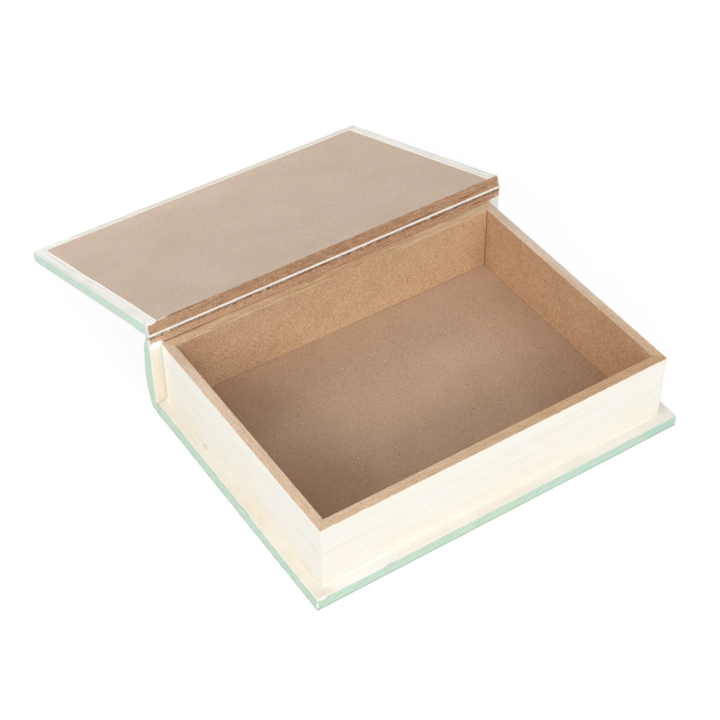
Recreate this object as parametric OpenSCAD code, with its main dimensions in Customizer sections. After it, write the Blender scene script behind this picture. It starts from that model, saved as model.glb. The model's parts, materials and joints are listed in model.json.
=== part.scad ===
// Book box: a page block tray between two cover boards, a round-backed spine
// and a lid that turns on a strip of cloth. The fore edge faces -Y, the spine
// +Y, and the lid is drawn open, lying over the back with its edge on the table.

/* [Cover boards] */
// Length of both covers and of the spine
cover_l = 200; // [120:1:320]
// Depth of both covers, from the fore edge to the spine
cover_d = 143; // [100:1:240]
// Thickness of the bottom cover
bottom_t = 6.5; // [4:0.5:12]
// Thickness of the top cover
top_t = 5.5; // [4:0.5:12]
// Radius sanded along the edges of the covers
cover_ease = 0.8; // [0.2:0.1:1.5]

/* [Page block] */
// How far the covers stand out past the page block
square_w = 6; // [3:0.5:12]
// Height of the page block walls
wall_h = 36; // [20:1:80]
// Thickness of the page block walls
wall_t = 5; // [3:0.5:10]

/* [Spine] */
// Thickness of the spine at its foot
spine_foot_t = 4.8; // [4:0.1:6.5]
// Thickness of the spine half way up
spine_mid_t = 8.3; // [7.5:0.1:12]
// Thickness of the spine at its crest
spine_crest_t = 1.9; // [1.6:0.1:4]
// Radius rounded along the crest
crest_r = 1.4; // [0.6:0.1:1.8]

/* [Hinge cloth] */
// Thickness of the cloth
cloth_t = 0.35; // [0.2:0.05:0.5]
// How far the cloth reaches in over the cover and down the spine
cloth_w = 14; // [6:1:18]
// Gap between the closed top cover and the spine
hinge_gap = 0.6; // [0.4:0.1:1.5]
// Height of the fold line above the closed top cover
fold_rise = 0.9; // [0.8:0.1:1.5]
// Radius of the roll of cloth at the fold line
fold_r = 0.25; // [0.2:0.01:0.3]

/* [Clearances] */
// Clearance between the closed top cover and the page block
lid_seat = 0.2; // [0.1:0.1:1]

/* [Hidden] */
$fn = 96;

// Page block, whose back stands against the spine
block_l = cover_l - 2 * square_w;
block_d = cover_d - square_w;
block_y = square_w / 2;

// Heights above the table
block_top = bottom_t + wall_h;
lid_under = block_top + lid_seat;
lid_face = lid_under + top_t;

// Inner face of the spine, where both covers end
spine_y = cover_d / 2;

// The spine's round back is the circle through its foot, middle and crest,
// with Y counted from the spine's inner face and Z from the table
back_foot = [spine_foot_t, 0];
back_mid = [spine_mid_t, lid_face / 2];
back_crest = [spine_crest_t, lid_face];
back_centre = circle_centre(back_foot, back_mid, back_crest);
back_r = norm(back_mid - back_centre);

// Flats that make up each sanded round
ease_steps = 3;

// Angle by which the rolled crest laps under its neighbours, so that they join
roll_lap = 2;

// Fold line of the hinge cloth, which is the axis the lid turns on
fold_y = spine_y - hinge_gap / 2;
fold_z = lid_face + fold_rise;

// The open lid comes to rest when the round along its fore edge meets the table.
// The middle of that round, seen from the fold line, is rest_from away.
lid_d = cover_d - hinge_gap;
rest_from = [lid_d - cover_ease + hinge_gap / 2, fold_rise + cover_ease];
lid_swing = 180 + atan(rest_from.y / rest_from.x) + asin((fold_z - cover_ease) / norm(rest_from));

// Centre of the circle through three points
function circle_centre(a, b, c) =
    let (
        ab = b - a,
        ac = c - a,
        turn = 2 * (ab.x * ac.y - ab.y * ac.x),
        x = ac.y * (ab * ab) - ab.y * (ac * ac),
        y = ab.x * (ac * ac) - ac.x * (ab * ab)
    )
    a + [x, y] / turn;

// Rectangle about the origin with its corners sanded round in ease_steps flats.
// squared leaves the two corners on the +X side sharp.
module eased_outline(w, h, ease, squared = false) {
    polygon([
        for (quarter = [0:3])
            let (
                side = [quarter == 0 || quarter == 3 ? 1 : -1, quarter < 2 ? 1 : -1],
                r = squared && side.x > 0 ? 0 : ease,
                middle = [side.x * (w / 2 - r), side.y * (h / 2 - r)]
            )
            for (step = [0:(r > 0 ? ease_steps : 0)])
                let (angle = 90 * (quarter + step / ease_steps))
                middle + r * [cos(angle), sin(angle)]
    ]);
}

// Board lying flat, centred in X and Y and standing on Z = 0, sanded round along
// its ends and its fore edge, and left square where it meets the spine
module cover_board(d, t) {
    translate([0, 0, t / 2])
    intersection() {
        rotate([90, 0, 90])
        linear_extrude(cover_l, center = true)
        eased_outline(d, t, cover_ease, squared = true);

        rotate([90, 0, 0])
        linear_extrude(d, center = true)
        eased_outline(cover_l, t, cover_ease);

        rotate(90)
        linear_extrude(t, center = true)
        eased_outline(d, cover_l, cover_ease, squared = true);
    }
}

// Wall along X with its outer face on Y = 0, mitred at both ends
module mitred_wall(l) {
    linear_extrude(wall_h)
    polygon([
        [-l / 2, 0], [l / 2, 0],
        [l / 2 - wall_t, wall_t], [wall_t - l / 2, wall_t]
    ]);
}

// Section of the spine: flat inside, round outside and rolled over at the crest.
// grow lifts the outside and the crest by that much.
module spine_section(grow) {
    r = back_r + grow;
    roll = crest_r + grow;
    rise = lid_face - crest_r - back_centre.y;
    roll_at = back_centre + [sqrt(pow(r - roll, 2) - rise * rise), rise];
    roll_start = atan2(rise, roll_at.x - back_centre.x);

    difference() {
        intersection() {
            translate(back_centre)
            circle(r, $fn = 360);

            square([2 * spine_mid_t, lid_face + grow]);
        }
        translate(roll_at)
        wedge(roll_start, 90);
    }
    translate(roll_at)
    intersection() {
        circle(roll);
        wedge(roll_start - roll_lap, 90 + roll_lap);
    }
}

// Corner of the section beyond the middle of the roll, from one angle to another
module wedge(from, to) {
    reach = 2 * spine_mid_t;
    corner = (from + to) / 2;
    polygon([
        [0, 0],
        reach * [cos(from), sin(from)],
        2 * reach * [cos(corner), sin(corner)],
        reach * [cos(to), sin(to)]
    ]);
}

// Draws a section whose X is the box's Y and whose Y is its Z, along the box
module along_spine() {
    rotate([90, 0, 90])
    linear_extrude(cover_l, center = true)
    children();
}

// Swings what is drawn in the closed position over to where the open lid rests
module swung_open() {
    translate([0, fold_y, fold_z])
    rotate([-lid_swing, 0, 0])
    translate([0, -fold_y, -fold_z])
    children();
}

module bottom_cover() {
    color("#c5e0d0")
    cover_board(cover_d, bottom_t);
}

module front_wall() {
    color("#f6f1e4")
    translate([0, block_y - block_d / 2, bottom_t])
    mitred_wall(block_l);
}

module back_wall() {
    color("#c09468")
    translate([0, block_y + block_d / 2, bottom_t])
    rotate([0, 0, 180])
    mitred_wall(block_l);
}

module left_wall() {
    color("#f4eddc")
    translate([-block_l / 2, block_y, bottom_t])
    rotate([0, 0, -90])
    mitred_wall(block_d);
}

module right_wall() {
    color("#f4eddc")
    translate([block_l / 2, block_y, bottom_t])
    rotate([0, 0, 90])
    mitred_wall(block_d);
}

module spine_board() {
    color("#bfdccb")
    translate([0, spine_y, 0])
    along_spine()
    spine_section(0);
}

module top_cover() {
    color("#cbb4a3")
    swung_open()
    translate([0, spine_y - hinge_gap - lid_d / 2, lid_under])
    cover_board(lid_d, top_t);
}

// Cloth glued over the lid's outer face, with the neck that rises to the fold
module hinge_cloth_lid_leaf() {
    edge = [-hinge_gap, lid_face];
    bend = edge + [0, cloth_t / 2];
    neck = [-hinge_gap / 2, fold_z] - bend;

    color("#fff4e4")
    swung_open()
    translate([0, spine_y, 0])
    along_spine()
    union() {
        translate(edge - [cloth_w, 0])
        square([cloth_w, cloth_t]);

        translate(bend)
        circle(d = cloth_t);

        translate(bend)
        rotate(atan2(neck.y, neck.x))
        translate([0, -cloth_t / 2])
        square([norm(neck), cloth_t]);

        translate(bend + neck)
        circle(fold_r);
    }
}

// Cloth glued over the crest and down the round back of the spine
module hinge_cloth_spine_leaf() {
    color("#f3e8d6")
    translate([0, spine_y, 0])
    along_spine()
    intersection() {
        difference() {
            spine_section(cloth_t);
            spine_section(0);
        }
        translate([0, lid_face - cloth_w])
        square([2 * spine_mid_t, cloth_w + 2 * cloth_t]);
    }
}

bottom_cover();
front_wall();
back_wall();
left_wall();
right_wall();
spine_board();
top_cover();
hinge_cloth_lid_leaf();
hinge_cloth_spine_leaf();
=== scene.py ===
# Book box of painted fibreboard, standing open with its lid laid back on the table
import json
import math
import random

import bpy
import numpy as np
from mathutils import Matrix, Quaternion, Vector, noise


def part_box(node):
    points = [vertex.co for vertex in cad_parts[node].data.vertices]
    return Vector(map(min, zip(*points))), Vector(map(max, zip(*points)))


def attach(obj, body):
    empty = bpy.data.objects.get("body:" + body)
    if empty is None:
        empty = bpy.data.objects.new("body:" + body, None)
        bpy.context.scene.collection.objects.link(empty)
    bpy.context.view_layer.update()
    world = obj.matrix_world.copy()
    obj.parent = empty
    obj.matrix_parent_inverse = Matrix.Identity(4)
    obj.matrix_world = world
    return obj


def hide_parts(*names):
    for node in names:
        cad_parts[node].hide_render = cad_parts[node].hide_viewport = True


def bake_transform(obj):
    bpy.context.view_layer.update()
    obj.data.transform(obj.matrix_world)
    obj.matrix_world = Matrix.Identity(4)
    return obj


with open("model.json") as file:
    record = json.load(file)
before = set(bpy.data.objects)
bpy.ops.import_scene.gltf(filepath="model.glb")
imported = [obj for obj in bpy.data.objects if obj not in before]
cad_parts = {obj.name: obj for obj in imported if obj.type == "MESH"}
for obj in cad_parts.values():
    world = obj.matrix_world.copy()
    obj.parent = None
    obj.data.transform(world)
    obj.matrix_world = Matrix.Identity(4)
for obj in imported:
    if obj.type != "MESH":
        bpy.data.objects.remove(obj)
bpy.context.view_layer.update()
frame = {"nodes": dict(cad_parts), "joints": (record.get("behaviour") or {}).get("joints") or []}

scene = bpy.context.scene
mm = 0.001  # the pieces are worked out in millimetres and written in metres
tiny = 1e-6  # for telling on which face of a block a point lies
farOff = 9.0  # past the reach of every border and seam
print("frame loaded:", ", ".join(sorted(frame["nodes"])))


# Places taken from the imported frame
def cadBox(node):
    low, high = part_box(node)
    return np.array(low) / mm, np.array(high) / mm


hinge = frame["joints"][0]
foldLine = np.array(hinge["pos_m"]) / mm
swing = math.radians(hinge["range_deg"][1])


def turnLid(points, angle):  # turns points about the fold line, positive towards closed
    y = points[:, 1] - foldLine[1]
    z = points[:, 2] - foldLine[2]
    turnedY = foldLine[1] + y * math.cos(angle) - z * math.sin(angle)
    turnedZ = foldLine[2] + y * math.sin(angle) + z * math.cos(angle)
    return np.stack([points[:, 0], turnedY, turnedZ], 1)


def closedBox(node):
    mesh = frame["nodes"][node].data
    points = np.array([corner.co for corner in mesh.vertices]) / mm
    points = turnLid(points, swing)
    return points.min(0), points.max(0)


coverLow, coverHigh = cadBox("bottom_cover")
lidLow, lidHigh = closedBox("top_cover")
spineLow, spineHigh = cadBox("spine_board")
blockLow = np.minimum(cadBox("front_wall")[0], cadBox("left_wall")[0])
blockHigh = np.maximum(cadBox("back_wall")[1], cadBox("right_wall")[1])
wallThick = cadBox("front_wall")[1][1] - cadBox("front_wall")[0][1]
trayLow = blockLow + wallThick
trayHigh = blockHigh - wallThick


# Mesh tools
def ruled(low, high, cell, *fine):
    # lines across a face: every step mm within reach of each fine place, else every cell mm
    closest = 0.07
    lines = [low, high]
    for at, reach, step in fine:
        count = round(reach / step)
        lines += [at + step * n for n in range(-count, count + 1)]
    lines += list(np.linspace(low, high, round((high - low) / cell) + 1))
    kept = []
    for line in lines:
        inside = low <= line <= high
        if inside and all(abs(line - other) > closest for other in kept):
            kept.append(line)
    return np.array(sorted(kept))


def easedLines(low, high, cell, ease, *fine):  # ruled, with lines for a rounded edge at both ends
    half = ease / 2
    ends = [(low + half, half, ease / 4), (high - half, half, ease / 4)]
    return ruled(low, high, cell, *ends, *fine)


def blockSkin(xs, ys, zs):  # closed skin of a block, ruled along the given lines
    sizes = (len(xs), len(ys), len(zs))
    outer = np.zeros(sizes, bool)
    for axis in range(3):
        for end in (0, -1):
            outer[tuple(end if a == axis else slice(None) for a in range(3))] = True
    number = np.zeros(sizes, int)
    number[outer] = np.arange(outer.sum())
    i, j, k = np.nonzero(outer)
    points = np.stack([xs[i], ys[j], zs[k]], 1)
    faces = []
    for axis in range(3):
        for end in (0, -1):
            side = number[tuple(end if a == axis else slice(None) for a in range(3))]
            corners = [side[:-1, :-1], side[1:, :-1], side[1:, 1:], side[:-1, 1:]]
            if (end == 0) == (axis != 1):
                corners.reverse()
            faces.append(np.stack([c.ravel() for c in corners], 1))
    return points, np.concatenate(faces)


def roundOff(points, low, high, radius):  # rounds the edges of a block, and gives which way is out
    radius = np.broadcast_to(radius, len(points))[:, None]
    core = np.clip(points, low + radius, high - radius)
    out = points - core
    reach = np.abs(out).max(1, keepdims=True)
    length = np.linalg.norm(out, axis=1, keepdims=True)
    out = out / np.maximum(length, 1e-9)
    return core + out * reach, out


def noiseAt(points, size, seed):  # smooth noise from -1 to 1 with lumps of about size mm
    seedStep = (17.3, 31.7, 5.1)
    size = np.broadcast_to(size, 3)
    shift = Vector([seed * step for step in seedStep])
    return np.array([noise.noise(Vector(p) + shift) for p in (points / size).tolist()])


def insideOf(points, low, high):  # distance in from the edges of a rectangle seen from above
    x, y = points[:, 0], points[:, 1]
    return np.minimum.reduce([x - low[0], high[0] - x, y - low[1], high[1] - y])


def bump(distance, reach):  # soft bump, 1 at distance 0
    return np.exp(-((distance / reach) ** 2))


def sandedEase(points, ease, byHeight, seed):  # rounding of a cover's edges, uneven as by hand
    uneven, lump = 0.25, 14
    sizes = ease * (1 + uneven * noiseAt(points, lump, seed))
    sizes = sizes * np.interp(points[:, 2], *byHeight)
    return np.clip(sizes, 0.3, ease * 1.2)


def roundedIn(first, second, radius):  # distance in from two edges that meet in a rounded corner
    return radius - np.hypot(np.maximum(radius - first, 0), np.maximum(radius - second, 0))


def makePiece(name, points, faces, fields, material):
    mesh = bpy.data.meshes.new(name)
    mesh.from_pydata((points * mm).tolist(), [], [list(face) for face in faces])
    for field, values in fields.items():
        kind, key = ("FLOAT", "value") if values.ndim == 1 else ("FLOAT_VECTOR", "vector")
        attribute = mesh.attributes.new(field, kind, "POINT")
        attribute.data.foreach_set(key, values.astype(np.float32).ravel())
    mesh.polygons.foreach_set("use_smooth", [True] * len(mesh.polygons))
    mesh.materials.append(material)
    mesh.validate()
    piece = bpy.data.objects.new(name, mesh)
    scene.collection.objects.link(piece)
    print(f"{name}: {len(mesh.vertices)} points, {len(mesh.polygons)} faces")
    return piece


# Shader tools
def tint(red, green, blue):  # a screen colour, 0 to 255, as the shader wants it
    parts = [channel / 255 for channel in (red, green, blue)]
    return [c / 12.92 if c < 0.04045 else ((c + 0.055) / 1.055) ** 2.4 for c in parts] + [1.0]


def wire(tree, socket, source):
    if isinstance(source, bpy.types.NodeSocket):
        tree.links.new(source, socket)
    else:
        socket.default_value = source


def put(tree, kind, wires=None, **choices):  # one node, set and wired
    made = tree.nodes.new("ShaderNode" + kind)
    for choice, value in choices.items():
        setattr(made, choice, value)
    for socket, source in (wires or {}).items():
        wire(tree, made.inputs[socket], source)
    return made


def calc(tree, operation, first, second=0.0, clamp=False):
    made = put(tree, "Math", {0: first, 1: second}, operation=operation, use_clamp=clamp)
    return made.outputs[0]


def vectorCalc(tree, operation, first, second):
    return put(tree, "VectorMath", {0: first, 1: second}, operation=operation).outputs[0]


def stretch(tree, value, low, high, toLow=0.0, toHigh=1.0):  # smooth step between two values
    wires = {"Value": value, "From Min": low, "From Max": high, "To Min": toLow, "To Max": toHigh}
    return put(tree, "MapRange", wires, interpolation_type="SMOOTHSTEP").outputs[0]


def mixColour(tree, share, first, second, how="MIX"):
    wires = {0: share, 6: first, 7: second}
    return put(tree, "Mix", wires, data_type="RGBA", blend_type=how).outputs[2]


def mixValue(tree, share, first, second):
    return put(tree, "Mix", {0: share, 2: first, 3: second}, data_type="FLOAT").outputs[0]


def noiseOf(tree, place, scale, detail=2.0, rough=0.5):
    wires = {"Vector": place, "Scale": scale, "Detail": detail, "Roughness": rough}
    return put(tree, "TexNoise", wires).outputs[0]


def fieldOf(tree, name, output="Fac"):  # one of the mesh's own fields
    return put(tree, "Attribute", attribute_name=name).outputs[output]


def brighten(tree, colour, factor):
    return put(tree, "VectorMath", {0: colour, "Scale": factor}, operation="SCALE").outputs[0]


def newGroup(name, inputs, outputs):
    tree = bpy.data.node_groups.new(name, "ShaderNodeTree")
    kinds = {list: "Color", tuple: "Vector", float: "Float"}
    for label, value in inputs.items():
        kind = "NodeSocket" + kinds[type(value)]
        socket = tree.interface.new_socket(name=label, in_out="INPUT", socket_type=kind)
        socket.default_value = value
    for label, kind in outputs.items():
        tree.interface.new_socket(name=label, in_out="OUTPUT", socket_type="NodeSocket" + kind)
    return tree, tree.nodes.new("NodeGroupInput").outputs, tree.nodes.new("NodeGroupOutput").inputs


def useGroup(tree, name, wires):
    made = tree.nodes.new("ShaderNodeGroup")
    made.node_tree = bpy.data.node_groups[name]
    for socket, source in wires.items():
        wire(tree, made.inputs[socket], source)
    return made.outputs


def partly(tree, lumps, share, contrast):  # turns noise into a mask that averages about that share
    swayed = calc(tree, "MULTIPLY", calc(tree, "SUBTRACT", lumps, 0.5), contrast)
    return calc(tree, "ADD", share, swayed, clamp=True)


# Bare fibreboard: soft mottling, fine grain, and dark and pale flecks of bark and fibre
def buildFibreGroup():
    inputs = {
        "Place": (0.0, 0.0, 0.0),  # in mm
        "Ground": tint(198, 178, 160),
        "Mottle": tint(192, 172, 150),
        "Fleck": tint(110, 78, 58),
        "Pale Fleck": tint(232, 216, 196),
        "Mottle Size": 9.0,
        "Mottle Share": 0.5,
        "Mottle Contrast": 3.5,
        "Drawn Out": (1.0, 1.0, 1.0),  # how many times longer the mottling is along X, Y and Z
        "Grain": 0.05,  # how far the fine grain lightens and darkens
        "Fleck Share": 0.3,
        "Fleck Size": 1.0,
        "Pale Share": 0.05,
        "Bare Roughness": 0.8,
    }
    outputs = {"Color": "Color", "Roughness": "Float", "Height": "Float"}
    tree, given, result = newGroup("fibreboard", inputs, outputs)
    place = given["Place"]
    drawn = vectorCalc(tree, "DIVIDE", place, given["Drawn Out"])
    broad = noiseOf(tree, drawn, calc(tree, "DIVIDE", 1.0, given["Mottle Size"]), 3.0, 0.6)
    mottled = partly(tree, broad, given["Mottle Share"], given["Mottle Contrast"])
    colour = mixColour(tree, mottled, given["Ground"], given["Mottle"])
    grain = noiseOf(tree, place, 1.5, 3.0, 0.7)
    speckle = calc(tree, "MULTIPLY", stretch(tree, grain, 0.3, 0.7, -1.0, 1.0), given["Grain"])
    redder = brighten(tree, (0.75, 1.0, 1.15), speckle)
    colour = vectorCalc(tree, "MULTIPLY", colour, vectorCalc(tree, "ADD", redder, (1.0, 1.0, 1.0)))
    height = calc(tree, "MULTIPLY", grain, 0.4)
    # flecks by tint, share, number to the mm and reach
    flecks = [("Fleck", "Fleck Share", 0.7, 0.2), ("Pale Fleck", "Pale Share", 0.45, 0.16)]
    for label, share, scale, size in flecks:
        cells = put(tree, "TexVoronoi", {"Vector": place, "Scale": scale})
        lot = put(tree, "SeparateColor", {"Color": cells.outputs["Color"]}).outputs
        reach = calc(tree, "MULTIPLY", calc(tree, "ADD", lot[1], 0.35), size)
        reach = calc(tree, "MULTIPLY", reach, given["Fleck Size"])
        away = calc(tree, "DIVIDE", cells.outputs["Distance"], reach)
        close = stretch(tree, away, 0.5, 1.0, 1.0, 0.0)
        chosen = calc(tree, "LESS_THAN", lot[0], given[share])
        strength = calc(tree, "MULTIPLY", stretch(tree, lot[2], 0.0, 1.0, 0.25, 0.9), chosen)
        mask = calc(tree, "MULTIPLY", close, strength)
        colour = mixColour(tree, mask, colour, given[label])
        height = calc(tree, "SUBTRACT", height, calc(tree, "MULTIPLY", mask, 0.6))
    rough = calc(tree, "ADD", given["Bare Roughness"], calc(tree, "MULTIPLY", broad, 0.12))
    wire(tree, result["Color"], colour)
    wire(tree, result["Roughness"], rough)
    wire(tree, result["Height"], height)


# Brushed paint: strokes that run along the surface, thin places and warmer patches
def buildPaintGroup():
    inputs = {
        "Place": (0.0, 0.0, 0.0),
        "Stroke": (0.0, 0.0, 0.0),  # along and across the strokes, in mm
        "Coat": tint(246, 241, 228),
        "Thin": tint(238, 230, 212),
        "Patch": tint(243, 233, 210),
        "Stroke Length": 40.0,
        "Stroke Width": 0.9,
        "Slant": 0.0,  # how far a stroke climbs for each mm along
        "Streaks": 0.5,
        "Patches": 0.3,
        "Coat Roughness": 0.55,
    }
    outputs = {"Color": "Color", "Roughness": "Float", "Height": "Float"}
    tree, given, result = newGroup("brushedPaint", inputs, outputs)
    parts = put(tree, "SeparateXYZ", {0: given["Stroke"]}).outputs
    climb = calc(tree, "MULTIPLY", parts[0], given["Slant"])
    across = calc(tree, "DIVIDE", calc(tree, "SUBTRACT", parts[1], climb), given["Stroke Width"])
    along = calc(tree, "DIVIDE", parts[0], given["Stroke Length"])
    brush = put(tree, "CombineXYZ", {0: along, 1: across}).outputs[0]
    broad = noiseOf(tree, brush, 0.45, 3.0, 0.65)
    fine = noiseOf(tree, brush, 1.7, 2.0, 0.6)
    cloud = partly(tree, noiseOf(tree, given["Place"], 0.06, 3.0), given["Patches"], 2.5)
    colour = mixColour(tree, cloud, given["Coat"], given["Patch"])
    thin = calc(tree, "MULTIPLY", stretch(tree, broad, 0.42, 0.68), given["Streaks"])
    colour = mixColour(tree, thin, colour, given["Thin"])
    hair = calc(tree, "MULTIPLY", stretch(tree, fine, 0.3, 0.7, -0.03, 0.03), given["Streaks"])
    colour = brighten(tree, colour, calc(tree, "ADD", hair, 1.0))
    height = calc(tree, "ADD", broad, calc(tree, "MULTIPLY", fine, 0.5))
    rough = calc(tree, "ADD", given["Coat Roughness"], calc(tree, "MULTIPLY", broad, 0.15))
    wire(tree, result["Color"], colour)
    wire(tree, result["Roughness"], rough)
    wire(tree, result["Height"], height)


# Hand-painted border: where a coat ends, with the raised lip inside it and the dark line outside
def buildBorderGroup():
    inputs = {
        "Distance": 0.0,  # in mm, positive inside the coat
        "Place": (0.0, 0.0, 0.0),
        "Wobble": 0.2,
        "Lump": 3.0,
        "Softness": 0.12,
        "Lip Width": 0.9,
        "Line Width": 0.35,
    }
    outputs = {"Mask": "Float", "Lip": "Float", "Line": "Float"}
    tree, given, result = newGroup("unevenBorder", inputs, outputs)
    scale = calc(tree, "DIVIDE", 1.0, given["Lump"])
    lump = stretch(tree, noiseOf(tree, given["Place"], scale, 3.0, 0.7), 0.25, 0.75, -1.0, 1.0)
    moved = calc(tree, "ADD", given["Distance"], calc(tree, "MULTIPLY", lump, given["Wobble"]))
    minus = calc(tree, "MULTIPLY", given["Softness"], -1.0)
    mask = stretch(tree, moved, minus, given["Softness"])
    past = calc(tree, "SUBTRACT", moved, given["Lip Width"])
    lip = calc(tree, "MULTIPLY", mask, stretch(tree, past, minus, given["Softness"], 1.0, 0.0))
    before = stretch(tree, calc(tree, "ADD", moved, given["Line Width"]), minus, given["Softness"])
    line = calc(tree, "MULTIPLY", before, calc(tree, "SUBTRACT", 1.0, mask))
    wire(tree, result["Mask"], mask)
    wire(tree, result["Lip"], lip)
    wire(tree, result["Line"], line)


# Dark seam between two boards, broken up along its length
def buildSeamGroup():
    inputs = {"Distance": 9.0, "Place": (0.0, 0.0, 0.0), "Width": 0.35, "Dash": 2.2, "Broken": 0.4}
    tree, given, result = newGroup("seamLine", inputs, {"Mask": "Float"})
    share = calc(tree, "DIVIDE", given["Distance"], given["Width"])
    near = stretch(tree, share, 0.3, 1.0, 1.0, 0.0)
    scale = calc(tree, "DIVIDE", 1.0, given["Dash"])
    gaps = stretch(tree, noiseOf(tree, given["Place"], scale, 3.0, 0.7), 0.38, 0.56, 1.0, 0.0)
    kept = calc(tree, "SUBTRACT", 1.0, calc(tree, "MULTIPLY", gaps, given["Broken"]))
    wire(tree, result["Mask"], calc(tree, "MULTIPLY", near, kept))


# One small mark, nick or smear at a place
def buildMarkGroup():
    inputs = {
        "Place": (0.0, 0.0, 0.0),
        "Spot": (0.0, 0.0, 0.0),
        "Reach": (1.0, 1.0, 1.0),
        "Ragged": 0.3,
        "Core": 0.35,  # share of the reach that is marked in full
    }
    tree, given, result = newGroup("smallMark", inputs, {"Mask": "Float"})
    gap = vectorCalc(tree, "SUBTRACT", given["Place"], given["Spot"])
    gap = vectorCalc(tree, "DIVIDE", gap, given["Reach"])
    length = put(tree, "VectorMath", {0: gap}, operation="LENGTH").outputs["Value"]
    edge = stretch(tree, noiseOf(tree, given["Place"], 0.9, 2.0), 0.3, 0.7, -1.0, 1.0)
    length = calc(tree, "ADD", length, calc(tree, "MULTIPLY", edge, given["Ragged"]))
    wire(tree, result["Mask"], stretch(tree, length, given["Core"], 1.0, 1.0, 0.0))


for build in (buildFibreGroup, buildPaintGroup, buildBorderGroup, buildSeamGroup, buildMarkGroup):
    build()
print("shader groups built")


def newMaterial(name):
    material = bpy.data.materials.new(name)
    material.use_nodes = True
    material.node_tree.nodes.clear()
    return material, material.node_tree


def finishMaterial(tree, colour, rough, height, settings):  # relief, shader and output
    wires = {"Height": height, "Strength": settings["strength"], "Distance": settings["depth"]}
    relief = put(tree, "Bump", wires).outputs[0]
    wires = {"Base Color": colour, "Roughness": rough, "Normal": relief}
    shader = put(tree, "BsdfPrincipled", {**wires, "Specular IOR Level": settings["shine"]})
    output = tree.nodes.new("ShaderNodeOutputMaterial")
    wire(tree, output.inputs["Surface"], shader.outputs[0])


reliefSet = {"strength": 0.35, "depth": 0.0002, "shine": 0.3}


def boardMaterial(name, coats, seam, marks=()):
    # coats lie over each other, each from where its field of the mesh turns positive
    material, tree = newMaterial(name)
    place = brighten(tree, put(tree, "TexCoord").outputs["Object"], 1 / mm)
    stroke = fieldOf(tree, "stroke", "Vector")
    colour, rough, height = None, None, None
    for coat in coats:
        wires = {"Place": place, **coat["look"]}
        if coat["finish"] == "brushedPaint":
            wires["Stroke"] = stroke
        for socket, field in coat.get("driven", {}).items():
            wires[socket] = fieldOf(tree, field)
        look = useGroup(tree, coat["finish"], wires)
        if "field" not in coat:
            colour, rough, height = look["Color"], look["Roughness"], look["Height"]
            continue
        wires = {"Distance": fieldOf(tree, coat["field"]), "Place": place, **coat["edge"]}
        edge = useGroup(tree, "unevenBorder", wires)
        line = calc(tree, "MULTIPLY", edge["Line"], coat.get("lineShare", 0.0))
        lip = calc(tree, "MULTIPLY", edge["Lip"], coat.get("lipShare", 0.0))
        colour = mixColour(tree, line, colour, coat.get("lineTint", tint(120, 90, 70)))
        colour = mixColour(tree, edge["Mask"], colour, look["Color"])
        colour = mixColour(tree, lip, colour, coat.get("lipTint", tint(255, 250, 240)))
        rough = mixValue(tree, edge["Mask"], rough, look["Roughness"])
        height = mixValue(tree, edge["Mask"], height, look["Height"])
    wires = {"Distance": fieldOf(tree, "seam"), "Place": place, **seam["line"]}
    dark = calc(tree, "MULTIPLY", useGroup(tree, "seamLine", wires)["Mask"], seam["share"])
    colour = mixColour(tree, dark, colour, seam["tint"])
    for mark in marks:
        wires = {"Place": place, "Spot": mark["at"], "Reach": mark["reach"]}
        for key in ("ragged", "core"):
            if key in mark:
                wires[key.capitalize()] = mark[key]
        mask = useGroup(tree, "smallMark", wires)["Mask"]
        mask = calc(tree, "MULTIPLY", mask, mark["share"])
        colour = mixColour(tree, mask, colour, mark["tint"])
    finishMaterial(tree, colour, rough, height, reliefSet)
    return material


def spot(at, reach, share, colour, **more):  # a mark: where, how far, how strong and in what tint
    return {"at": at, "reach": reach, "share": share, "tint": tint(*colour), **more}


mint = {
    "Coat": tint(197, 221, 202),
    "Thin": tint(185, 210, 191),
    "Patch": tint(201, 225, 208),
    "Stroke Length": 26.0,
    "Stroke Width": 1.1,
    "Streaks": 0.55,
    "Patches": 0.35,
    "Coat Roughness": 0.5,
}
cream = {
    "Coat": tint(247, 244, 236),
    "Thin": tint(241, 235, 222),
    "Patch": tint(248, 241, 225),
    "Stroke Length": 55.0,
    "Stroke Width": 0.8,
    "Streaks": 0.7,
    "Patches": 0.4,
}


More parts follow.
